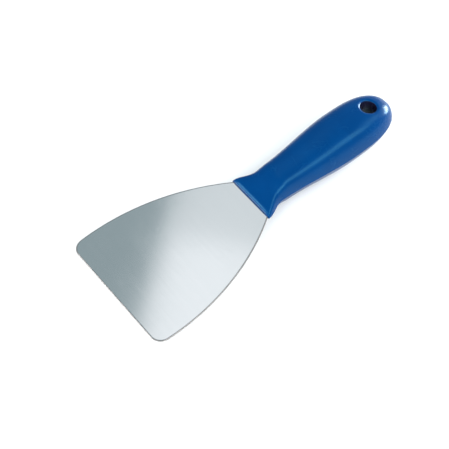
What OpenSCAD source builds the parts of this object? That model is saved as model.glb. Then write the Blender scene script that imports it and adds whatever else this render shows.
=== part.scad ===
// Drywall taping knife: a flared stainless blade with its tang moulded into a plastic handle.
// The frame has +X towards the working edge, +Z square to the blade's face, and its origin
// on the axis of the hang hole, in the middle plane of the blade.

/* [Blade] */
// Widest part of the blade
blade_w = 80; // [70:1:90]
// Blade from the working edge to the front of the handle
blade_reach = 94.5; // [85:1:105]
// Thickness of the steel sheet
blade_t = 0.9; // [0.6:0.1:1.2]
// Radius of the curved sides
side_r = 145; // [138:1:165]
// Distance from the working edge back to the widest part
widest_x = 13.5; // [10:0.5:18]
// Radius of the two front corners
corner_r = 7; // [4:0.5:9]

/* [Tang] */
// Width of the tang inside the handle
tang_w = 14; // [12:0.5:15]
// Tang's length behind the front of the handle
tang_len = 66; // [55:1:70]
// Diameter of the locking holes in the tang
lock_hole_d = 6; // [4:0.5:7]
// Distance between the locking holes
lock_pitch = 16; // [12:1:17]

/* [Handle outline] */
// Length of the handle
handle_len = 101; // [96:1:110]
// Width across the front of the handle
front_w = 32.6; // [31.6:0.2:34]
// Width of the neck
neck_w = 23.6; // [23:0.2:28]
// Width of the palm swell
belly_w = 32; // [29:0.2:36]
// Distance from the front of the handle back to the neck
neck_at = 13; // [11:1:18]
// Distance from the front of the handle back to the widest part of the swell
belly_at = 65; // [62:1:74]

/* [Handle thickness] */
// Thickness of the lip against the blade
lip_t = 3; // [2.6:0.2:4]
// Thickness just behind the rounded nose
nose_t = 7.4; // [6:0.2:9]
// Length of the rounded nose
nose_len = 3; // [2:0.5:4]
// Thickness of the neck
neck_t = 19.6; // [18:0.2:22]
// Thickness of the palm swell
belly_t = 26.6; // [24:0.2:30]
// Distance from the front of the handle back to the full neck thickness
neck_t_at = 20; // [18:1:24]
// Distance from the front of the handle back to the thickest part
belly_t_at = 60; // [54:1:64]

/* [Hang hole] */
// Diameter of the hang hole
hole_d = 9.6; // [7:0.2:10]
// Distance from the hole's centre to the rear end of the handle
hole_inset = 14.5; // [14:0.5:17]
// Width of the bevel round each mouth of the hole
bevel = 1.6; // [1:0.1:2]

/* [Moulded core] */
// Thickness of the outer moulding over the core's ribs
skin_t = 3.4; // [3:0.1:4]
// Width of the core between its ribs
core_w = 17; // [16.5:0.5:18]
// Thickness of the core between its ribs
core_t = 8; // [6:0.5:9]
// Thickness of each rib
rib_t = 2; // [1.5:0.1:3]
// Number of ribs
rib_count = 6; // [3:1:6]

/* [Hidden] */

front_x = handle_len - hole_inset;
edge_x = front_x + blade_reach;

// The side arcs' centres lie this far across the middle line, level with the widest part.
side_centre_x = edge_x - widest_x;
side_centre_y = side_r - blade_w / 2;

// Each front corner's arc touches the straight edge and the side arc.
corner_x = edge_x - corner_r;
corner_reach = side_r - corner_r;
corner_dx = corner_x - side_centre_x;
corner_y = sqrt(corner_reach * corner_reach - corner_dx * corner_dx) - side_centre_y;
corner_start_x = side_centre_x + corner_dx * side_r / corner_reach;

// The blade keeps its curved outline this far into the handle, then steps in to the tang.
shoulder_in = 8;
tang_end_x = front_x - tang_len;
lock_first_x = tang_end_x + 10;
lock_count = 3;

// The core starts behind the shoulder and ends short of the hang hole.
core_front_x = front_x - 14;
core_rear_x = 12;
rib_first_x = core_rear_x + 4;
rib_pitch = (core_front_x - rib_first_x - 4) / (rib_count - 1);

// Blend powers: how round the end is in plan and in side view, and how soft the shoulders are.
end_plan_power = 3.2;
end_side_power = 2.6;
soft_power = 6;
// The side bands would meet the middle plane at this multiple of the half width.
side_lean = 1.15;
// The shoulder line's place at the swell, and how much further out it runs at the neck and lip.
shoulder_share = 0.62;
shoulder_neck = 0.1;
shoulder_neck_end = 45;
shoulder_lip = 0.2;
shoulder_lip_end = 12;

// Rings along the handle and points round each ring.
ring_count = 48;
ring_points = 40;
nose_rings = 6;
// The last ring stops this far short of the rear end, and a small flat closes it.
end_gap = 0.05;

round_fn = 96;
arc_fn = 720;

// Runs from 0 to 1 with no slope at either end.
function ease(t) = let (c = min(max(t, 0), 1)) c * c * (3 - 2 * c);

// Falls from 1 at t = 0 to 0 at t = 1, with a round end.
function round_off(t, power) = sqrt(max(0, 1 - pow(min(max(t, 0), 1), power)));

// Half the handle's width, at u behind its front face.
function half_w(u) =
    (u < neck_at
        ? front_w - (front_w - neck_w) * ease(u / neck_at)
        : neck_w + (belly_w - neck_w) * ease((u - neck_at) / (belly_at - neck_at))
    ) / 2 * round_off((u - belly_at) / (handle_len - belly_at), end_plan_power);

// The rounded nose rises from the lip to the front of the ramp.
function nose_rise(u) = sqrt(1 - pow(1 - min(u / nose_len, 1), 2));

// Half the handle's thickness, at u behind its front face.
function half_t(u) =
    (u < neck_t_at
        ? lip_t + (nose_t - lip_t) * nose_rise(u) + (neck_t - nose_t) * ease(u / neck_t_at)
        : neck_t + (belly_t - neck_t) * ease((u - neck_t_at) / (belly_t_at - neck_t_at))
    ) / 2 * round_off((u - belly_t_at) / (handle_len - belly_t_at), end_side_power);

// Distance from the axis out to the shoulder line, as a share of the half width.
function shoulder(u) =
    shoulder_share + shoulder_neck * (1 - ease(u / shoulder_neck_end))
    + shoulder_lip * (1 - ease(u / shoulder_lip_end));

// Blends sizes so that the biggest rules, with a soft change from one to the next.
function soft_max(sizes) =
    pow([for (v = sizes) pow(v, soft_power)] * [for (v = sizes) 1], 1 / soft_power);

// Distance from the axis to the surface in direction (c, s): flat top and bottom, upright
// flanks, and side bands that lean in from the flanks to the shoulders.
function reach(c, s, a, b, side_top) =
    1 / soft_max([
        c / a,
        s / b,
        c / (side_lean * a) + s / (side_top * b)]);

function ring(u) =
    let (side_top = 1 / (1 - shoulder(u) / side_lean),
         a = half_w(u) * soft_max([1, 1 / side_lean]),
         b = half_t(u) * soft_max([1, 1 / side_top]))
    [for (i = [0:ring_points - 1])
        let (angle = 360 * i / ring_points,
             r = reach(abs(cos(angle)), abs(sin(angle)), a, b, side_top))
        [front_x - u, r * cos(angle), r * sin(angle)]];

// How far behind the front each ring lies: the nose's rings are close together, and the rest
// close up towards the rounded rear end.
function ring_at(k) =
    k < nose_rings
        ? nose_len * pow(k / nose_rings, 1.6)
        : nose_len + (handle_len - nose_len - end_gap)
            * sin(90 * (k - nose_rings) / (ring_count - 1 - nose_rings));

// Sheet outline: two side arcs meeting a straight edge through rounded corners.
module blade_outline() {
    intersection() {
        translate([side_centre_x, -side_centre_y]) circle(r = side_r, $fn = arc_fn);
        translate([side_centre_x, side_centre_y]) circle(r = side_r, $fn = arc_fn);
        translate([front_x - shoulder_in, -blade_w / 2])
            square([corner_start_x - front_x + shoulder_in, blade_w]);
    }
    translate([corner_start_x - 0.01, -corner_y])
        square([edge_x - corner_start_x + 0.01, 2 * corner_y]);
    for (side = [-1, 1])
        intersection() {
            translate([corner_x, side * corner_y]) circle(r = corner_r, $fn = round_fn);
            translate([corner_start_x, -blade_w / 2]) square([corner_r, blade_w]);
        }
}

module tang_outline() {
    translate([tang_end_x + tang_w / 2, -tang_w / 2])
        square([tang_len - tang_w / 2 - shoulder_in + 0.01, tang_w]);
    translate([tang_end_x + tang_w / 2, 0]) circle(d = tang_w, $fn = round_fn);
}

// The sheet without its holes, which is also the slot that the plastic leaves for it.
module sheet() {
    translate([0, 0, -blade_t / 2])
        linear_extrude(height = blade_t)
            union() {
                blade_outline();
                tang_outline();
            }
}

module lock_holes() {
    for (i = [0:lock_count - 1])
        translate([lock_first_x + i * lock_pitch, 0, -blade_t])
            cylinder(d = lock_hole_d, h = 2 * blade_t, $fn = round_fn);
}

module blade() {
    color([0.80, 0.83, 0.85])
        difference() {
            sheet();
            lock_holes();
        }
}

// A bar along X with round flanks, from x = start.
module stadium_bar(start, length, width, thickness) {
    translate([start, 0, 0])
        rotate([90, 0, 90])
            linear_extrude(height = length) {
                square([width - thickness, thickness], center = true);
                for (side = [-1, 1])
                    translate([side * (width - thickness) / 2, 0])
                        circle(d = thickness, $fn = round_fn);
            }
}

// A core bar with ribs that follow the handle's own swell under an even skin.
module core_form() {
    stadium_bar(core_rear_x, core_front_x - core_rear_x, core_w, core_t);
    for (i = [0:rib_count - 1]) {
        rib_x = rib_first_x + i * rib_pitch;
        u = front_x - rib_x;
        stadium_bar(rib_x - rib_t / 2, rib_t, 2 * (half_w(u) - skin_t), 2 * (half_t(u) - skin_t));
    }
}

// The first shot of plastic grips the tang and fills its locking holes.
module handle_core() {
    color([0.10, 0.22, 0.42])
        difference() {
            core_form();
            blade();
        }
}

module handle_form() {
    points = [for (k = [0:ring_count - 1]) each ring(ring_at(k))];
    sides = [for (k = [0:ring_count - 2], i = [0:ring_points - 1])
        let (j = (i + 1) % ring_points, low = k * ring_points, high = low + ring_points)
        each [[low + i, high + i, high + j], [low + i, high + j, low + j]]];
    front_cap = [for (i = [0:ring_points - 1]) i];
    rear_cap = [for (i = [0:ring_points - 1]) ring_count * ring_points - 1 - i];
    polyhedron(points = points, faces = concat(sides, [front_cap], [rear_cap]), convexity = 4);
}

// The bore runs square to the blade. Each mouth's bevel leans with the surface round it.
module hang_hole() {
    rise = half_t(front_x - hole_d / 2) - half_t(front_x + hole_d / 2);
    lean = atan(rise / hole_d);
    cylinder(d = hole_d, h = 2 * belly_t, center = true, $fn = round_fn);
    for (side = [0, 1])
        mirror([0, 0, side])
            translate([0, 0, half_t(front_x)])
                rotate([0, -lean, 0])
                    translate([0, 0, -bevel])
                        cylinder(d1 = hole_d, d2 = hole_d + 4 * bevel, h = 2 * bevel, $fn = round_fn);
}

// The outer shot of plastic, moulded round the core, the tang and the root of the blade.
module handle() {
    color([0.03, 0.25, 0.56])
        difference() {
            handle_form();
            sheet();
            core_form();
            hang_hole();
        }
}

blade();
handle_core();
handle();
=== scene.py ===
# %% [markdown]
# # A taping knife on a table
# A taping knife is a steel sheet with a straight working edge and a thick plastic handle. This
# script puts finished surfaces on a model whose sizes and places are already fixed. The packed
# model is loaded first, and everything made here has to fit it. Its frame has +X towards the
# working edge, +Z square to the blade, and its origin in the middle of the hang hole.

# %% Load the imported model
import math

import bmesh
import bpy
import numpy as np
from mathutils import Matrix, Vector


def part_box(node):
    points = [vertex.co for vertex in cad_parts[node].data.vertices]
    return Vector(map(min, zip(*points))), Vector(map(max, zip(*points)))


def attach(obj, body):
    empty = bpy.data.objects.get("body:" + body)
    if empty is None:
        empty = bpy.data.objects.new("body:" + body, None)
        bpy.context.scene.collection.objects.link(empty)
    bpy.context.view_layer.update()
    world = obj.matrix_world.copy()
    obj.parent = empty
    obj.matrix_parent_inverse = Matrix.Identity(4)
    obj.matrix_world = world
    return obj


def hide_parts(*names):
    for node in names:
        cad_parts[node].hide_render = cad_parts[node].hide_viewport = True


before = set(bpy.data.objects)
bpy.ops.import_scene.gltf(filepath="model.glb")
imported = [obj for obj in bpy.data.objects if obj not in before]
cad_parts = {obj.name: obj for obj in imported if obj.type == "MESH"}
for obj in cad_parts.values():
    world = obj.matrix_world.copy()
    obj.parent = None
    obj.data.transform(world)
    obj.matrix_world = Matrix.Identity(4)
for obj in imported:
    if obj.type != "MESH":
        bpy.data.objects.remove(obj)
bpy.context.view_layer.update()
MM = 0.001

_, blade_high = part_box("blade")
handle_low, handle_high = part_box("handle")
front_x = handle_high.x
edge_x = blade_high.x

# %% [markdown]
# ## Camera and picture settings
# The knife is seen from above its working edge and a little to one side, so the blade is the
# near end and the handle leads away. The camera could be placed by hand, but it is easier to
# keep right when it is set by the way it looks: an azimuth and an elevation, a distance, and a
# small roll that tips the whole picture. A long lens keeps the far handle from shrinking.

# %% Camera
view_azimuth = math.radians(-146.16)
view_elevation = math.radians(58.22)
view_roll = math.radians(5.45)
view_distance = 824.4 * MM
look_at = Vector((107.6 * MM, 3.3 * MM, 0))

# An azimuth of 0 looks along +Y, and the camera looks down by the elevation.
look = Vector((
    math.sin(view_azimuth) * math.cos(view_elevation),
    math.cos(view_azimuth) * math.cos(view_elevation),
    -math.sin(view_elevation)))
right = look.cross(Vector((0, 0, 1))).normalized()
up = right.cross(look)
tipped_up = Matrix.Rotation(view_roll, 3, look) @ up
tipped_right = look.cross(tipped_up)

lens = bpy.data.cameras.new("table_camera")
lens.lens = 120
lens.sensor_width = 36
camera = bpy.data.objects.new("table_camera", lens)
camera.matrix_world = Matrix((
    (*tipped_right, 0), (*tipped_up, 0), (*-look, 0), (0, 0, 0, 1))).transposed()
camera.location = look_at - look * view_distance
bpy.context.scene.collection.objects.link(camera)
bpy.context.scene.camera = camera
bpy.context.scene.view_settings.view_transform = "Standard"
print("camera at, in mm:", [round(value / MM, 1) for value in camera.location])
print("looking along:", [round(value, 4) for value in look])
print("the picture's up:", [round(value, 4) for value in tipped_up])

# %% [markdown]
# ## The handle's section
# The handle is a moulding with a flat top and bottom, upright flanks, and side bands that lean
# in from the flanks to soft shoulders. Its front is wide and thin where it grips the blade,
# then it narrows to a neck and swells to fill the palm. Such a form could be sculpted, but
# every ring of it follows the same few rules, so it is worked out from them: one rule for the
# half width, one for the half thickness, and one that blends flats and flanks into a section.

# %% Rules for the handle's width and thickness
handle_length = 101 * MM
end_gap = 0.05 * MM
front_width, neck_width, belly_width = 32.6 * MM, 23.6 * MM, 32 * MM
neck_at, belly_at = 13 * MM, 65 * MM
lip_thickness, nose_thickness, nose_length = 3 * MM, 7.4 * MM, 3 * MM
neck_thickness, belly_thickness = 19.6 * MM, handle_high.z - handle_low.z
neck_full_at, belly_full_at = 20 * MM, 60 * MM
end_plan_power, end_side_power = 3.2, 2.6


def ease(t):
    """Runs from 0 to 1 with no slope at either end."""
    held = np.clip(t, 0, 1)
    return held * held * (3 - 2 * held)


def round_off(t, power):
    """Falls from 1 at t = 0 to 0 at t = 1, with a round end."""
    return np.sqrt(np.maximum(0, 1 - np.clip(t, 0, 1) ** power))


def half_width(back):
    """Half the handle's width at a distance back from its front face."""
    flare = front_width - (front_width - neck_width) * ease(back / neck_at)
    swell = neck_width + (belly_width - neck_width) * ease((back - neck_at) / (belly_at - neck_at))
    plain = np.where(back < neck_at, flare, swell) / 2
    return plain * round_off((back - belly_at) / (handle_length - belly_at), end_plan_power)


def half_thickness(back):
    """Half the handle's thickness at a distance back from its front face."""
    nose = np.sqrt(1 - (1 - np.minimum(back / nose_length, 1)) ** 2)
    ramp = (lip_thickness + (nose_thickness - lip_thickness) * nose
            + (neck_thickness - nose_thickness) * ease(back / neck_full_at))
    swell = (neck_thickness + (belly_thickness - neck_thickness)
             * ease((back - neck_full_at) / (belly_full_at - neck_full_at)))
    plain = np.where(back < neck_full_at, ramp, swell) / 2
    ended = round_off((back - belly_full_at) / (handle_length - belly_full_at), end_side_power)
    return plain * ended


print("half width at the neck, in mm:", round(float(half_width(neck_at)) / MM, 2))
print("half thickness at the belly, in mm:", round(float(half_thickness(belly_full_at)) / MM, 2))

# %% [markdown]
# A section could be a plain oval, but the real handle has flats that can be felt. So a section
# is made of three straight rules, for the flanks, for the top and bottom, and for the leaning
# side bands, and a soft maximum rounds the places where one rule takes over from the next. The
# shoulder between the top and the side band runs further out at the neck and at the lip.

# %% Rule for one section
soft_power = 6
side_lean = 1.15
shoulder_share = 0.62
shoulder_neck, shoulder_neck_end = 0.1, 45 * MM
shoulder_lip, shoulder_lip_end = 0.2, 12 * MM
halving_steps = 40


def soft_max(sizes):
    """Blends sizes so that the biggest rules, with a soft change from one to the next."""
    return sum(np.abs(size) ** soft_power for size in sizes) ** (1 / soft_power)


def section_sizes(back):
    """What one section needs: its two half sizes and the height where its sides would meet."""
    shoulder = (shoulder_share + shoulder_neck * (1 - ease(back / shoulder_neck_end))
                + shoulder_lip * (1 - ease(back / shoulder_lip_end)))
    side_top = 1 / (1 - shoulder / side_lean)
    across = half_width(back) * soft_max([1, 1 / side_lean])
    above = half_thickness(back) * soft_max([1, 1 / side_top])
    return across, above, side_top


def outside(back, y, z):
    """1 on the section's surface, less inside it and more outside it."""
    across, above, side_top = section_sizes(back)
    wide, tall = np.abs(y) / across, np.abs(z) / above
    return soft_max([wide, tall, wide / side_lean + tall / side_top])


def top_height(x, y):
    """Height of the handle's surface over a point, found by halving."""
    low, high = 0.0, belly_thickness
    for _ in range(halving_steps):
        middle = (low + high) / 2
        if outside(front_x - x, y, middle) < 1:
            low = middle
        else:
            high = middle
    return low


print("height at the hole's centre, in mm:", round(top_height(0, 0) / MM, 2))

# %% [markdown]
# ## The handle's skin
# The skin is a grid: rings along the handle, and points round each ring. A primitive with a
# subdivision would lose the flats, so the points are placed by the section rule instead. The
# rings crowd together at the rounded lip and nose, and again at the rear end. The two halves
# of a mould leave a fine ridge where they meet, so the points crowd together there too, and
# stand out by a few hundredths of a millimetre.

# %% Places of the rings and of the points round them
lip_round = 0.3 * MM
ridge_height = 0.06 * MM
lip_steps, nose_steps, body_steps = 5, 12, 110
nose_crowding = 1.5

lip_turns = [math.radians(90 * step / lip_steps) for step in range(lip_steps)]
lip_backs = [lip_round * (1 - math.cos(turned)) for turned in lip_turns]
nose_backs = [lip_round + (nose_length - lip_round) * (step / nose_steps) ** nose_crowding
              for step in range(nose_steps + 1)]
body_length = handle_length - end_gap - nose_length
body_backs = [nose_length + body_length * math.sin(math.radians(90 * step / body_steps))
              for step in range(1, body_steps + 1)]
ring_backs = np.array(lip_backs + nose_backs + body_backs)

# The ridge's height falls off over the first few places of each quarter turn.
ridge_degrees = [0, 0.35, 0.7, 1.2, 2.4]
ridge_share = [1, 0.85, 0.1, 0]
side_degrees = list(np.linspace(5, 90, 35))
quarter = ridge_degrees + side_degrees
turn = quarter + [180 - d for d in reversed(quarter[:-1])]
turn += [360 - d for d in reversed(turn[1:-1])]
turn = np.radians(np.array(turn))
print(len(ring_backs), "rings of", len(turn), "points")

# %% The grid of points
def ring_points(back):
    """One ring of the skin, a little drawn in at the rounded lip and raised at the ridge."""
    across, above, side_top = section_sizes(back)
    y_way = half_width(back) * np.cos(turn)
    z_way = half_thickness(back) * np.sin(turn)
    length = np.hypot(y_way, z_way)
    y_way, z_way = y_way / length, z_way / length
    reach = 1 / outside(back, y_way, z_way)
    if back < lip_round:
        reach = reach - (lip_round - math.sqrt(lip_round ** 2 - (lip_round - back) ** 2))
    flank = np.minimum(np.abs(turn % math.pi), np.abs(math.pi - turn % math.pi))
    ridge = np.interp(np.degrees(flank), ridge_degrees[:len(ridge_share)], ridge_share)
    reach = reach + ridge_height * ridge * float(half_thickness(back)) / (belly_thickness / 2)
    return np.stack([np.full_like(turn, front_x - back), reach * y_way, reach * z_way], axis=1)


skin = np.array([ring_points(back) for back in ring_backs])
print("skin runs over, in mm:", np.round(skin.reshape(-1, 3).min(0) / MM, 2),
      np.round(skin.reshape(-1, 3).max(0) / MM, 2))

# %% [markdown]
# ## The hang hole
# A hook goes through a round hole near the rear end, and its two mouths are rolled over so
# that they don't cut the hand. A boolean cut would leave a ragged join in a smooth skin. It is
# cleaner to open a window in the grid and fill it with a patch that turns from the window's
# square outline to the hole's round one, and then rolls over into the bore.

# %% Window in the grid and the round mouth
hole_radius = 4.8 * MM
roll_width, roll_depth = 1.6 * MM, 1.0 * MM
corner_pull = 0.35
window_reach = 8.6 * MM
window_half_turn = math.radians(29)
patch_shares = (0.25, 0.5, 0.75, 0.92)
roll_steps = 11
wall_shares = (0.8, 0.6, 0.4, 0.2)

ring_x = front_x - ring_backs
window_rings = [k for k, x in enumerate(ring_x) if abs(x) <= window_reach]
window_points = [i for i, angle in enumerate(turn) if abs(angle - math.pi / 2) <= window_half_turn]
first_ring, last_ring = window_rings[0], window_rings[-1]
first_point, last_point = window_points[0], window_points[-1]

window_loop = [(first_ring, i) for i in range(first_point, last_point)]
window_loop += [(k, last_point) for k in range(first_ring, last_ring)]
window_loop += [(last_ring, i) for i in range(last_point, first_point, -1)]
window_loop += [(k, first_point) for k in range(last_ring, first_ring, -1)]
print("window outline has", len(window_loop), "points")


# %% Points of the patch
def patch_columns():
    """For each point of the window's outline, the points from there down into the bore."""
    columns = []
    for k, i in window_loop:
        x, y, _ = skin[k, i]
        bearing = math.atan2(y, x)
        way = np.array([math.cos(bearing), math.sin(bearing)])
        far = math.hypot(x, y)
        near = hole_radius + roll_width
        column = []
        for share in patch_shares:
            spot = way * (far + (near - far) * share)
            column.append([*spot, top_height(*spot)])
        outer = np.array([*way * near, top_height(*way * near)])
        corner = np.array([*way * hole_radius, top_height(*way * hole_radius)])
        inner = corner - np.array([0, 0, roll_depth])
        for step in range(roll_steps + 1):
            t = step / roll_steps
            weights = ((1 - t) ** 2, 2 * corner_pull * t * (1 - t), t ** 2)
            spot = (weights[0] * outer + weights[1] * corner + weights[2] * inner) / sum(weights)
            column.append(list(spot))
        for share in wall_shares:
            column.append([inner[0], inner[1], inner[2] * share])
        columns.append(column)
    return columns


columns = patch_columns()
print(len(columns), "columns of", len(columns[0]), "points each")

# %% [markdown]
# ## Joining the handle
# The faces are made from the grid, leaving out the two windows. The patch goes in at the top
# and, mirrored, at the bottom, and the two meet half way down the bore. At the front, the face
# is drawn in to a slot of the blade's own size, so the blade leaves the plastic through a real
# opening.

# %% Faces of the grid and of the hole
points_round = len(turn)


def mirrored(index):
    """The place in a ring that lies straight below the given one."""
    return (points_round - index) % points_round


def add_skin(bm, grid):
    """Faces between the rings, less the two windows, and the small cap at the rear."""
    for k in range(len(grid) - 1):
        for i in range(points_round):
            j = (i + 1) % points_round
            along = first_ring <= k < last_ring
            top = along and first_point <= i < last_point
            bottom = along and first_point <= mirrored(j) < last_point
            if not top and not bottom:
                bm.faces.new((grid[k][i], grid[k + 1][i], grid[k + 1][j], grid[k][j]))
    bm.faces.new(list(reversed(grid[-1])))


def add_hole(bm, grid):
    """The two patches, which share one ring half way down the bore."""
    middle = [bm.verts.new((column[-1][0], column[-1][1], 0)) for column in columns]
    for side in (1, -1):
        loops = [[grid[k][i if side == 1 else mirrored(i)] for k, i in window_loop]]
        for spots in zip(*columns):
            loops.append([bm.verts.new((x, y, side * z)) for x, y, z in spots])
        loops.append(middle)
        for outer, inner in zip(loops, loops[1:]):
            for n in range(len(outer)):
                m = (n + 1) % len(outer)
                corners = (outer[n], outer[m], inner[m], inner[n])
                bm.faces.new(corners if side == 1 else tuple(reversed(corners)))


print("points round each ring:", points_round)

# %% Slot for the blade, and the whole handle
slot_half_width = 15.3 * MM
slot_half_height = 0.46 * MM
slot_depth = 2.5 * MM
slot_end_squeeze = 3
tiny = 1e-9


def slot_ring(bm, back):
    """The slot's outline, with one point for each point of the handle's first ring."""
    made = []
    for _, y, z in skin[0]:
        y = max(-slot_half_width, min(slot_half_width, y))
        # The outermost points close the slot's two rounded ends.
        tall = slot_half_height if abs(y) < slot_half_width - tiny else abs(z) / slot_end_squeeze
        z = math.copysign(min(tall, slot_half_height), z) if abs(z) > tiny else 0
        made.append(bm.verts.new((front_x - back, y, z)))
    return made


def add_slot(bm, first):
    """The front face, the slot's walls and its end. Gives back the slot's mouth."""
    mouth, end = slot_ring(bm, 0), slot_ring(bm, slot_depth)
    for outer, inner in ((first, mouth), (mouth, end)):
        for i in range(points_round):
            j = (i + 1) % points_round
            bm.faces.new((outer[j], inner[j], inner[i], outer[i]))
    bm.faces.new(end)
    return set(mouth)


def build_handle():
    """The finished moulding as one closed mesh, with a sharp edge only at the slot's mouth."""
    bm = bmesh.new()
    grid = [[bm.verts.new(spot) for spot in ring] for ring in skin]
    add_skin(bm, grid)
    add_hole(bm, grid)
    mouth = add_slot(bm, grid[0])
    bmesh.ops.delete(bm, geom=[v for v in bm.verts if not v.link_faces], context="VERTS")
    bmesh.ops.recalc_face_normals(bm, faces=bm.faces)
    for face in bm.faces:
        face.smooth = True
    for line in bm.edges:
        line.smooth = not mouth.issuperset(line.verts)
    mesh = bpy.data.meshes.new("handle_moulding")
    bm.to_mesh(mesh)
    bm.free()
    return mesh


handle_mesh = build_handle()
handle = bpy.data.objects.new("handle_moulding", handle_mesh)
bpy.context.scene.collection.objects.link(handle)
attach(handle, "root")
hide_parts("handle")
print("slot is, in mm:", round(2 * slot_half_width / MM, 2), "by",
      round(2 * slot_half_height / MM, 2))
print("handle has", len(handle_mesh.polygons), "faces")

# %% [markdown]
# ## The blade
# The blade is stamped from one sheet: two curved sides, a straight working edge between two
# rounded corners, and a narrow tang that hides in the handle. An extruded outline would have
# knife-sharp corners all round, while a real sheet is tumbled until its edges are slightly
# round, and it is those edges that draw the fine line round the blade. So each point of the
# outline carries a small rounded profile, and the two flat faces are filled in between.

# %% Sizes of the sheet
side_radius = 145 * MM
corner_radius = 7 * MM
widest_back = 13.5 * MM
blade_half_width = blade_high.y
tang_half_width = 7 * MM
tang_end_x = front_x - 66 * MM
step_x = front_x - 8 * MM
side_x = edge_x - widest_back
side_drop = side_radius - blade_half_width
corner_x = edge_x - corner_radius
corner_reach = side_radius - corner_radius
corner_y = math.sqrt(corner_reach ** 2 - (corner_x - side_x) ** 2) - side_drop
corner_turn = math.atan2(corner_y + side_drop, corner_x - side_x)
corner_steps, side_steps, tang_steps = 24, 110, 20
print("corner arcs are centred, in mm from the middle:", round(corner_y / MM, 2))


# %% Outline of the sheet
def arc(centre, radius, start, end, count):
    """Points along an arc, its ends included."""
    return [(centre[0] + radius * math.cos(start + (end - start) * n / count),
             centre[1] + radius * math.sin(start + (end - start) * n / count))
            for n in range(count + 1)]


def upper_outline():
    """The outline's +Y half, from the working edge back to the end of the tang."""
    step_turn = math.acos((step_x - side_x) / side_radius)
    points = arc((corner_x, corner_y), corner_radius, 0, corner_turn, corner_steps)
    points += arc((side_x, -side_drop), side_radius, corner_turn, step_turn, side_steps)[1:]
    points.append((step_x, tang_half_width))
    tang_centre = (tang_end_x + tang_half_width, 0)
    points += arc(tang_centre, tang_half_width, math.pi / 2, math.pi, tang_steps)
    return points


def full_outline():
    """The whole outline, counter-clockwise."""
    upper = upper_outline()
    lower = [(x, -y) for x, y in reversed(upper[:-1])]
    return np.array(upper + lower)


outline = full_outline()
print("outline has", len(outline), "points; half its width is, in mm:",
      round(outline[:, 1].max() / MM, 2))

# %% [markdown]
# Polishing wears a sheet most near its edges, so the faces fall away a little before the round
# edge starts. A bevel modifier would make the round edge alone. Here each point of the outline
# is drawn in step by step along one profile that has both, and the locking holes get the same
# profile, so that all the edges of the sheet match.

# %% Profile of the sheet's edges
sheet_half = 0.45 * MM
edge_round = 0.40 * MM
dub_width, dub_drop, dub_curve = 0.85 * MM, 0.03 * MM, 0.35
sharpest_turn = 0.5
tang_hole_radius = 3 * MM
tang_hole_count, first_tang_hole, tang_hole_pitch = 3, 10 * MM, 16 * MM
round_steps, tang_hole_steps = 6, 48
tang_holes = [tang_end_x + first_tang_hole + tang_hole_pitch * n for n in range(tang_hole_count)]


def drawn_in(points, amount):
    """The closed outline moved inwards by an amount, square to itself."""
    before = points - np.roll(points, 1, axis=0)
    after = np.roll(points, -1, axis=0) - points
    moved = []
    for point, a, b in zip(points, before, after):
        a, b = a / np.linalg.norm(a), b / np.linalg.norm(b)
        normal = np.array([-a[1] - b[1], a[0] + b[0]])
        normal /= np.linalg.norm(normal)
        turn_share = max(sharpest_turn, normal @ np.array([-a[1], a[0]]))
        moved.append(point + normal * amount / turn_share)
    return np.array(moved)


def edge_profile():
    """Distance in from the outline, and height, from the top face round to the bottom one."""
    top = [(dub_width, sheet_half),
           ((dub_width + edge_round) / 2, sheet_half - dub_drop * dub_curve)]
    for n in range(round_steps + 1):
        turned = math.radians(90 * n / round_steps)
        top.append((edge_round * (1 - math.sin(turned)),
                    sheet_half - dub_drop - edge_round * (1 - math.cos(turned))))
    return top + [(inwards, -height) for inwards, height in reversed(top)]


print("profile, in mm in from the edge and up:",
      [(round(a / MM, 2), round(b / MM, 2)) for a, b in edge_profile()[:4]])

# %% The sheet itself
def build_blade():
    """The sheet, with its tang and locking holes, as one closed mesh."""
    bm = bmesh.new()
    loops = [outline]
    for x in tang_holes:
        rim = arc((x, 0), tang_hole_radius, 2 * math.pi, 0, tang_hole_steps)[:-1]
        loops.append(np.array(rim))
    caps = {1: [], -1: []}
    for loop in loops:
        rows = []
        for inwards, height in edge_profile():
            rows.append([bm.verts.new((x, y, height)) for x, y in drawn_in(loop, inwards)])
        for upper, lower in zip(rows, rows[1:]):
            for n in range(len(upper)):
                m = (n + 1) % len(upper)
                bm.faces.new((upper[n], lower[n], lower[m], upper[m])).smooth = True
        caps[1].append(rows[0])
        caps[-1].append(rows[-1])
    for side, rings in caps.items():
        edges = []
        for ring in rings:
            edges += [bm.edges.get((ring[n], ring[(n + 1) % len(ring)])) for n in range(len(ring))]
        made = bmesh.ops.triangle_fill(bm, use_beauty=True, use_dissolve=False, edges=edges,
                                       normal=(0, 0, side))
        for item in made["geom"]:
            if isinstance(item, bmesh.types.BMFace):
                item.smooth = False
    bmesh.ops.recalc_face_normals(bm, faces=bm.faces)
    mesh = bpy.data.meshes.new("blade_sheet")
    bm.to_mesh(mesh)
    bm.free()
    return mesh


blade_mesh = build_blade()
blade = bpy.data.objects.new("blade_sheet", blade_mesh)
bpy.context.scene.collection.objects.link(blade)
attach(blade, "root")
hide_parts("blade")
print("blade has", len(blade_mesh.polygons), "faces")
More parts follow.
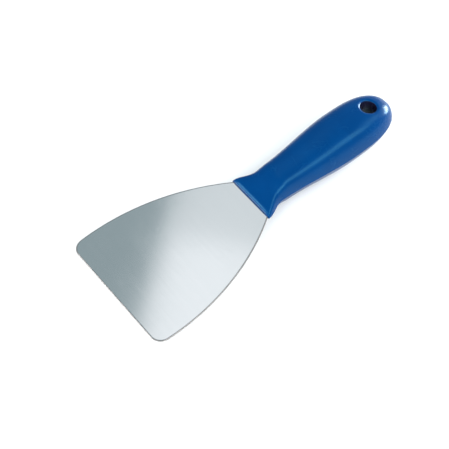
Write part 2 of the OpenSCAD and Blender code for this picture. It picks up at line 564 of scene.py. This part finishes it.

# %% [markdown]
# ## Effects that several finishes share
# Steel and plastic look real when their surfaces aren't perfectly even: hands leave faint
# smears, and use leaves hair-fine scratches. Both plastics also carry what their mould left on
# them, the knocks of handling, and a painted shade that darkens the bore. These could be painted
# as pictures, but they would blur close up and have seams. Each effect is a shader node group
# instead, with its own inputs, so that each finish can set it in its own way. A group gives out
# only masks and heights, and the shader itself stays in the material.

# %% Helpers for node groups
def new_group(name, inputs, outputs):
    """An empty shader group with number inputs, given as name and default, and named outputs."""
    group = bpy.data.node_groups.new(name, "ShaderNodeTree")
    for label, default in inputs.items():
        socket = group.interface.new_socket(label, in_out="INPUT", socket_type="NodeSocketFloat")
        socket.default_value = default
    for label in outputs:
        group.interface.new_socket(label, in_out="OUTPUT", socket_type="NodeSocketFloat")
    return group, group.nodes.new("NodeGroupInput"), group.nodes.new("NodeGroupOutput")


def put(tree, kind, links=None, **settings):
    """Adds one node, sets its properties and unlinked sockets, and links the rest."""
    node = tree.nodes.new(kind)
    for name, value in settings.items():
        setattr(node, name, value)
    for name, value in (links or {}).items():
        socket = node.inputs[name]
        if isinstance(value, bpy.types.NodeSocket):
            tree.links.new(value, socket)
        else:
            socket.default_value = value
    return node


print("node groups so far:", len(bpy.data.node_groups))

# %% Smears group
smear_start, smear_width = 0.75, 0.35


def smears_group():
    """Broad soft patches, as hands leave them: a mask from 0 to 1."""
    group, given, result = new_group("hand_smears", {"Size": 0.02, "Cover": 0.5}, ["Mask"])
    place = put(group, "ShaderNodeTexCoord")
    count = put(group, "ShaderNodeMath", {0: 1.0, 1: given.outputs["Size"]}, operation="DIVIDE")
    broad = put(group, "ShaderNodeTexNoise", {
        "Vector": place.outputs["Object"], "Scale": count.outputs[0],
        "Detail": 4.0, "Roughness": 0.55, "Distortion": 0.6})
    start = put(group, "ShaderNodeMath", {0: smear_start, 1: given.outputs["Cover"]},
                operation="SUBTRACT")
    finish = put(group, "ShaderNodeMath", {0: start.outputs[0], 1: smear_width}, operation="ADD")
    mask = put(group, "ShaderNodeMapRange", {
        "Value": broad.outputs["Fac"], "From Min": start.outputs[0],
        "From Max": finish.outputs[0]}, interpolation_type="SMOOTHSTEP")
    group.links.new(mask.outputs["Result"], result.inputs["Mask"])
    return group


hand_smears = smears_group()
print("made", hand_smears.name)

# %% Scratches group
# Each layer of scratches has an angle of its own, and its lines are as long as its stretch is
# small. A line shows wherever the noise passes its middle value.
scratch_layers = ((0.0, 0.05), (1.3, 0.06), (2.2, 0.04))
layer_step = 3.1
noise_middle, line_width = 0.5, 0.012


def scratches_group():
    """Hair-fine scratches that wander across each other: a mask from 0 to 1."""
    group, given, result = new_group("hair_scratches", {"Spacing": 0.006, "Angle": 0.5}, ["Mask"])
    place = put(group, "ShaderNodeTexCoord")
    count = put(group, "ShaderNodeMath", {0: 1.0, 1: given.outputs["Spacing"]}, operation="DIVIDE")
    layers = []
    for number, (lean, stretch) in enumerate(scratch_layers):
        angle = put(group, "ShaderNodeMath", {0: given.outputs["Angle"], 1: lean}, operation="ADD")
        turned = put(group, "ShaderNodeVectorRotate", {
            "Vector": place.outputs["Object"], "Axis": (0.2, 0.15, 1.0),
            "Angle": angle.outputs[0]}, rotation_type="AXIS_ANGLE")
        drawn = put(group, "ShaderNodeMapping", {
            "Vector": turned.outputs[0], "Location": (number * layer_step, 0.7, 1.9),
            "Scale": (1.0, stretch, 1.0)})
        lines = put(group, "ShaderNodeTexNoise", {
            "Vector": drawn.outputs[0], "Scale": count.outputs[0], "Detail": 2.0,
            "Roughness": 0.5, "Distortion": 0.15})
        band = put(group, "ShaderNodeMath", {0: lines.outputs["Fac"], 1: noise_middle},
                   operation="SUBTRACT")
        size = put(group, "ShaderNodeMath", {0: band.outputs[0]}, operation="ABSOLUTE")
        line = put(group, "ShaderNodeMapRange", {
            "Value": size.outputs[0], "From Min": 0.0, "From Max": line_width,
            "To Min": 1.0, "To Max": 0.0})
        layers.append(line.outputs["Result"])
    pair = put(group, "ShaderNodeMath", {0: layers[0], 1: layers[1]}, operation="MAXIMUM")
    every = put(group, "ShaderNodeMath", {0: pair.outputs[0], 1: layers[2]}, operation="MAXIMUM")
    gaps = put(group, "ShaderNodeTexNoise", {
        "Vector": place.outputs["Object"], "Scale": 90.0, "Detail": 2.0})
    kept = put(group, "ShaderNodeMapRange", {
        "Value": gaps.outputs["Fac"], "From Min": 0.5, "From Max": 0.62})
    mask = put(group, "ShaderNodeMath", {0: every.outputs[0], 1: kept.outputs["Result"]},
               operation="MULTIPLY")
    group.links.new(mask.outputs[0], result.inputs["Mask"])
    return group


hair_scratches = scratches_group()
print("made", hair_scratches.name)

# %% Mould skin group
def mould_skin_group():
    """What a mould leaves on plastic: an uneven tone, broad sinks and orange peel, 0 to 1."""
    group, given, result = new_group(
        "mould_skin", {"Mottle Scale": 70.0, "Sink Scale": 45.0, "Peel Scale": 900.0},
        ["Mottle", "Sink", "Peel"])
    place = put(group, "ShaderNodeTexCoord")
    mottle = put(group, "ShaderNodeTexNoise", {
        "Vector": place.outputs["Object"], "Scale": given.outputs["Mottle Scale"],
        "Detail": 5.0, "Roughness": 0.6, "Distortion": 0.8})
    sink = put(group, "ShaderNodeTexNoise", {
        "Vector": place.outputs["Object"], "Scale": given.outputs["Sink Scale"],
        "Detail": 1.0, "Roughness": 0.3})
    peel = put(group, "ShaderNodeTexNoise", {
        "Vector": place.outputs["Object"], "Scale": given.outputs["Peel Scale"],
        "Detail": 2.0, "Roughness": 0.5})
    group.links.new(mottle.outputs["Fac"], result.inputs["Mottle"])
    group.links.new(sink.outputs["Fac"], result.inputs["Sink"])
    group.links.new(peel.outputs["Fac"], result.inputs["Peel"])
    return group


mould_skin = mould_skin_group()
print("made", mould_skin.name)

# %% Knocks and bore shade group
def knocks_and_bore_shade_group():
    """Knocks at the lip and the rear end, and painted shade round the bore: masks from 0 to 1."""
    group, given, result = new_group(
        "knocks_and_bore_shade",
        {"Lip Start": 0.0, "Lip End": 0.0, "Rear Start": 0.0, "Rear End": 0.0,
         "Unshaded Radius": 0.0, "Shaded Radius": 0.0},
        ["Ends", "Bore"])
    place = put(group, "ShaderNodeTexCoord")
    split = put(group, "ShaderNodeSeparateXYZ", {"Vector": place.outputs["Object"]})
    lip = put(group, "ShaderNodeMapRange", {
        "Value": split.outputs["X"], "From Min": given.outputs["Lip Start"],
        "From Max": given.outputs["Lip End"]})
    rear = put(group, "ShaderNodeMapRange", {
        "Value": split.outputs["X"], "From Min": given.outputs["Rear Start"],
        "From Max": given.outputs["Rear End"]})
    ends = put(group, "ShaderNodeMath", {0: lip.outputs["Result"], 1: rear.outputs["Result"]},
               operation="MAXIMUM")
    # The bore mask is painted shade: it grows towards the hole's wall, where shade falls deep in
    # the hole.
    flat_place = put(group, "ShaderNodeCombineXYZ", {
        "X": split.outputs["X"], "Y": split.outputs["Y"]})
    from_axis = put(group, "ShaderNodeVectorMath", {0: flat_place.outputs[0]}, operation="LENGTH")
    bore = put(group, "ShaderNodeMapRange", {
        "Value": from_axis.outputs["Value"], "From Min": given.outputs["Unshaded Radius"],
        "From Max": given.outputs["Shaded Radius"]})
    group.links.new(ends.outputs[0], result.inputs["Ends"])
    group.links.new(bore.outputs["Result"], result.inputs["Bore"])
    return group


knocks_and_bore_shade = knocks_and_bore_shade_group()
print("made", knocks_and_bore_shade.name)

# %% [markdown]
# ## Satin steel
# The sheet is stainless steel, polished with a belt that runs across it, so it mirrors the
# room softly and lights up or goes dark in broad zones. A metal shader with an even roughness
# would look like grey paint: what makes it steel is a very fine grain of lines in the
# roughness and the bump, and a faint waviness that bends reflections.

# %% Steel material
dull_low, dull_high = 0.095, 0.115
smear_dulls, scratch_dulls, edge_dulls = 0.02, 0.02, 0.22
edge_depth = 0.002 * MM


def new_material(name):
    """A node material with its Principled shader, ready for settings."""
    material = bpy.data.materials.new(name)
    material.use_nodes = True
    tree = material.node_tree
    return material, tree, tree.nodes["Principled BSDF"]


def satin_steel():
    """Belt-polished stainless sheet."""
    material, tree, shader = new_material("satin_steel")
    shader.inputs["Metallic"].default_value = 1.0
    place = put(tree, "ShaderNodeTexCoord")
    drawn = put(tree, "ShaderNodeMapping", {
        "Vector": place.outputs["Object"], "Scale": (1.0, 0.02, 1.0)})
    grain = put(tree, "ShaderNodeTexNoise", {
        "Vector": drawn.outputs[0], "Scale": 2600.0, "Detail": 3.0, "Roughness": 0.6})
    streak = put(tree, "ShaderNodeTexNoise", {
        "Vector": drawn.outputs[0], "Scale": 320.0, "Detail": 2.0, "Roughness": 0.5})
    wave = put(tree, "ShaderNodeTexNoise", {
        "Vector": place.outputs["Object"], "Scale": 16.0, "Detail": 1.0, "Roughness": 0.3})
    smears = put(tree, "ShaderNodeGroup", {"Size": 0.035, "Cover": 0.42},
                 node_tree=hand_smears)
    scratches = put(tree, "ShaderNodeGroup", {"Spacing": 0.012, "Angle": 0.9},
                    node_tree=hair_scratches)

    # The stamped edge, below the polished faces, is duller, and its colour is darkened there:
    # painted shade that deepens the fine dark line round the blade.
    tone = put(tree, "ShaderNodeMix", data_type="RGBA")
    tree.links.new(streak.outputs["Fac"], tone.inputs["Factor"])
    tone.inputs["A"].default_value = (0.71, 0.735, 0.75, 1)
    tone.inputs["B"].default_value = (0.74, 0.755, 0.77, 1)
    split = put(tree, "ShaderNodeSeparateXYZ", {"Vector": place.outputs["Object"]})
    level = put(tree, "ShaderNodeMath", {0: split.outputs["Z"]}, operation="ABSOLUTE")
    edge_dull_and_shade = put(tree, "ShaderNodeMapRange", {
        "Value": level.outputs[0], "From Min": sheet_half - edge_depth,
        "From Max": sheet_half - dub_drop})
    edge_painted_shade = put(tree, "ShaderNodeMix", {"Factor": edge_dull_and_shade.outputs["Result"]}, data_type="RGBA")
    tree.links.new(tone.outputs["Result"], edge_painted_shade.inputs["A"])
    # Painted shade: the edge's colour, far darker than the steel, stands in for the dark line
    # round the blade.
    edge_painted_shade.inputs["B"].default_value = (0.30, 0.28, 0.275, 1)
    tree.links.new(edge_painted_shade.outputs["Result"], shader.inputs["Base Color"])

    base = put(tree, "ShaderNodeMapRange", {
        "Value": grain.outputs["Fac"], "From Min": 0.3, "From Max": 0.7,
        "To Min": dull_low, "To Max": dull_high})
    smeared = put(tree, "ShaderNodeMath", {
        0: smears.outputs["Mask"], 1: smear_dulls, 2: base.outputs["Result"]},
                  operation="MULTIPLY_ADD")
    scratched = put(tree, "ShaderNodeMath", {
        0: scratches.outputs["Mask"], 1: scratch_dulls, 2: smeared.outputs[0]},
                    operation="MULTIPLY_ADD")
    rough_edge = put(tree, "ShaderNodeMath", {
        0: edge_dull_and_shade.outputs["Result"], 1: edge_dulls, 2: scratched.outputs[0]},
                     operation="MULTIPLY_ADD")
    tree.links.new(rough_edge.outputs[0], shader.inputs["Roughness"])

    bend = put(tree, "ShaderNodeBump", {
        "Height": wave.outputs["Fac"], "Strength": 0.05, "Distance": 0.0004})
    fine = put(tree, "ShaderNodeBump", {
        "Height": grain.outputs["Fac"], "Normal": bend.outputs["Normal"],
        "Strength": 0.008, "Distance": 0.00002})
    cut = put(tree, "ShaderNodeBump", {
        "Height": scratches.outputs["Mask"], "Normal": fine.outputs["Normal"],
        "Strength": 0.05, "Distance": 0.00002}, invert=True)
    tree.links.new(cut.outputs["Normal"], shader.inputs["Normal"])
    return material


steel = satin_steel()
blade_mesh.materials.append(steel)
print("blade is", steel.name)

# %% [markdown]
# ## Plastics
# The handle's outer moulding is a deep, glossy blue, and the core inside it is a plain, matt
# first shot of the same family. Two flat colours would do from far away, but both come out of
# a mould, so both have its slightly uneven tone, its sinks and its orange peel, and both take
# smears and scratches. The lip and the rear end are dulled, because they are knocked about
# most, and the bore is darkened with painted shade, for the shade deep inside the hole. The core
# stops short of these three places, so their masks leave it untouched.

# %% Plastic materials
cool_mirror = (0.20, 0.80, 1.0)
# The bore's near-black tone is painted shade for the inside of the hang hole.
bore_shade_tone = (0.010, 0.009, 0.030)
lip_reach, rear_reach = 1.5 * MM, 4 * MM
bore_shade_reach, bore_shade_start = 0.25 * MM, 0.02 * MM
knock_dulls, hair_dulls = 0.10, 0.12


def moulded_plastic(name, dark, light, rough_low, rough_high, specular, peel, scratch_bump):
    """A moulded plastic between two tones, with its own gloss and skin."""
    material, tree, shader = new_material(name)
    shader.inputs["Specular IOR Level"].default_value = specular
    shader.inputs["Specular Tint"].default_value = (*cool_mirror, 1)
    mould = put(tree, "ShaderNodeGroup", {
        "Mottle Scale": 70.0, "Sink Scale": 45.0, "Peel Scale": 900.0}, node_tree=mould_skin)
    marks = put(tree, "ShaderNodeGroup", {
        "Lip Start": front_x - lip_reach, "Lip End": front_x,
        "Rear Start": handle_low.x + rear_reach, "Rear End": handle_low.x,
        "Unshaded Radius": hole_radius + bore_shade_reach,
        "Shaded Radius": hole_radius + bore_shade_start}, node_tree=knocks_and_bore_shade)
    smears = put(tree, "ShaderNodeGroup", {"Size": 0.018, "Cover": 0.5}, node_tree=hand_smears)
    scratches = put(tree, "ShaderNodeGroup", {"Spacing": 0.005, "Angle": 0.2},
                    node_tree=hair_scratches)

    spread = put(tree, "ShaderNodeMapRange", {
        "Value": mould.outputs["Mottle"], "From Min": 0.3, "From Max": 0.7})
    tone = put(tree, "ShaderNodeMix", {"Factor": spread.outputs["Result"]}, data_type="RGBA")
    tone.inputs["A"].default_value = (*dark, 1)
    tone.inputs["B"].default_value = (*light, 1)
    # Painted shade: the base colour turns near-black on the hole's wall and the inner edge of its
    # rim.
    bore_shaded = put(tree, "ShaderNodeMix", {"Factor": marks.outputs["Bore"]}, data_type="RGBA")
    tree.links.new(tone.outputs["Result"], bore_shaded.inputs["A"])
    bore_shaded.inputs["B"].default_value = (*bore_shade_tone, 1)
    tree.links.new(bore_shaded.outputs["Result"], shader.inputs["Base Color"])

    base = put(tree, "ShaderNodeMapRange", {
        "Value": smears.outputs["Mask"], "To Min": rough_low, "To Max": rough_high})
    knocked = put(tree, "ShaderNodeMath", {
        0: marks.outputs["Ends"], 1: mould.outputs["Mottle"]}, operation="MULTIPLY")
    dulled = put(tree, "ShaderNodeMath", {
        0: knocked.outputs[0], 1: knock_dulls, 2: base.outputs["Result"]},
                 operation="MULTIPLY_ADD")
    scratched = put(tree, "ShaderNodeMath", {
        0: scratches.outputs["Mask"], 1: hair_dulls, 2: dulled.outputs[0]},
                    operation="MULTIPLY_ADD")
    tree.links.new(scratched.outputs[0], shader.inputs["Roughness"])

    broad = put(tree, "ShaderNodeBump", {
        "Height": mould.outputs["Sink"], "Strength": 0.3, "Distance": 0.0003})
    peeled = put(tree, "ShaderNodeBump", {
        "Height": mould.outputs["Peel"], "Normal": broad.outputs["Normal"],
        "Strength": peel, "Distance": 0.00003})
    cut = put(tree, "ShaderNodeBump", {
        "Height": scratches.outputs["Mask"], "Normal": peeled.outputs["Normal"],
        "Strength": scratch_bump, "Distance": 0.00003}, invert=True)
    tree.links.new(cut.outputs["Normal"], shader.inputs["Normal"])
    return material


gloss_blue = moulded_plastic(
    "gloss_blue_moulding", dark=(0.0, 0.032, 0.137), light=(0.0, 0.038, 0.156),
    rough_low=0.20, rough_high=0.26, specular=0.24, peel=0.06, scratch_bump=0.05)
matt_blue = moulded_plastic(
    "matt_blue_core", dark=(0.012, 0.035, 0.10), light=(0.018, 0.045, 0.13),
    rough_low=0.50, rough_high=0.62, specular=0.35, peel=0.40, scratch_bump=0.10)
handle_mesh.materials.append(gloss_blue)
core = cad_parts["handle_core"]
core.data.materials.clear()
core.data.materials.append(matt_blue)
print("handle is", gloss_blue.name, "and core is", matt_blue.name)

# %% [markdown]
# ## Table and room
# The knife lies on a pale table. It touches it in two places, under the lowest part of the
# handle's swell and along the working edge, so in the knife's own frame the table top is
# slightly tilted. The tilt could be a fixed number, but it is worked out from the finished
# handle, so that the table can't cut into it. A flat sheet is enough for the table, with a very
# faint mottling so that it isn't a flat colour.

# %% Table top
# The table runs down from the working edge as steeply as the lowest part of the handle needs.
table_size = 1600 * MM
table_tilt = max(math.atan2(-sheet_half - vertex.co.z, edge_x - vertex.co.x)
                 for vertex in handle_mesh.vertices)
bpy.ops.mesh.primitive_grid_add(x_subdivisions=8, y_subdivisions=8, size=table_size)
table = bpy.context.object
table.name = "table_top"
table.rotation_euler = (0, -table_tilt, 0)
table.location = (edge_x, 0, -sheet_half)

table_finish, tree, shader = new_material("pale_table")
place = put(tree, "ShaderNodeTexCoord")
mottle = put(tree, "ShaderNodeTexNoise", {
    "Vector": place.outputs["Object"], "Scale": 9.0, "Detail": 4.0})
tone = put(tree, "ShaderNodeMix", {"Factor": mottle.outputs["Fac"]}, data_type="RGBA")
tone.inputs["A"].default_value = (0.83, 0.83, 0.83, 1)
tone.inputs["B"].default_value = (0.86, 0.86, 0.86, 1)
tree.links.new(tone.outputs["Result"], shader.inputs["Base Color"])
shader.inputs["Roughness"].default_value = 0.9
shader.inputs["Specular IOR Level"].default_value = 0.0
table.data.materials.append(table_finish)
print("table tilt in degrees:", round(math.degrees(table_tilt), 2))

# %% [markdown]
# ## Lights
# Metal shows what is around it, so the lights are placed by what each surface mirrors. One big
# lamp would light everything evenly and make the steel look like paint. Instead two flat panels
# hang over the knife where the blade mirrors them. The wide one makes its light zone, with a
# soft border to the dark one, and the small one brightens one end of that zone. A key light
# from the side models the handle and whitens the table, and a fill from the front keeps the
# shadows open. Three more lights work on the handle: one behind it for a sheen on its rear half,
# one high at its side for the light band along its shoulder, and one in front for its nose.
# A low light behind puts bright glints on the hole's rim and the rear end. A dim room fills the
# rest, and where the table ends, plain white shows.

# %% Lights and the room
centre = Vector((60 * MM, 0, 0))


def area_light(name, place, size, power, aim=None, colour=(1, 1, 1)):
    """A rectangular light at a place in mm, aimed at the knife, with its own size in mm."""
    lamp = bpy.data.lights.new(name, "AREA")
    lamp.shape = "RECTANGLE"
    lamp.size, lamp.size_y = size[0] * MM, size[1] * MM
    lamp.energy = power
    lamp.color = colour
    item = bpy.data.objects.new(name, lamp)
    item.location = Vector(place) * MM
    goal = centre if aim is None else Vector(aim) * MM
    item.rotation_euler = (goal - item.location).to_track_quat("-Z", "Y").to_euler()
    bpy.context.scene.collection.objects.link(item)
    return item


area_light("key", (290, 930, 690), (700, 500), 8.6)
area_light("front_fill", (800, 160, 900), (500, 500), 3.4)
area_light("back_sheen", (-780, 230, 780), (450, 450), 1.6)
area_light("crease_strip", (-340, 700, 900), (700, 560), 6.2)
area_light("nose_strip", (880, -380, 420), (500, 420), 7.0)
# The panels lie flat, and their long sides run at 39 degrees to the knife. Their middles are
# given along and across a line at 45 degrees to it. The small panel hangs 5 mm lower, because
# where two panels overlap in the same plane, only one of them gives light.
diagonal = 0.7071
panel_degrees = 39
panel_colour = (1.0, 0.94, 0.94)
for name, across, along, height, size, power in (
        ("wide_panel", -122, -220, 500, (136, 320), 0.0685),
        ("bright_panel", -144, -128, 495, (90, 150), 0.0119)):
    middle = ((along - across) * diagonal, (along + across) * diagonal, height)
    panel = area_light(name, middle, size, power, colour=panel_colour)
    panel.rotation_euler = (0, 0, math.radians(panel_degrees - 90))
area_light("end_glint", (-650, -5, 45), (330, 160), 7.5, aim=(-8, 3, 8))

world = bpy.data.worlds.new("dim_room")
bpy.context.scene.world = world
world.use_nodes = True
room = world.node_tree
room.nodes.clear()
ray = put(room, "ShaderNodeLightPath")
dim = put(room, "ShaderNodeBackground", {"Color": (0.77, 0.95, 1.0, 1), "Strength": 0.45})
pale = put(room, "ShaderNodeBackground", {"Color": (1, 1, 1, 1), "Strength": 1.0})
both = put(room, "ShaderNodeMixShader", {0: ray.outputs["Is Camera Ray"]})
room.links.new(dim.outputs[0], both.inputs[1])
room.links.new(pale.outputs[0], both.inputs[2])
put(room, "ShaderNodeOutputWorld", {"Surface": both.outputs[0]})
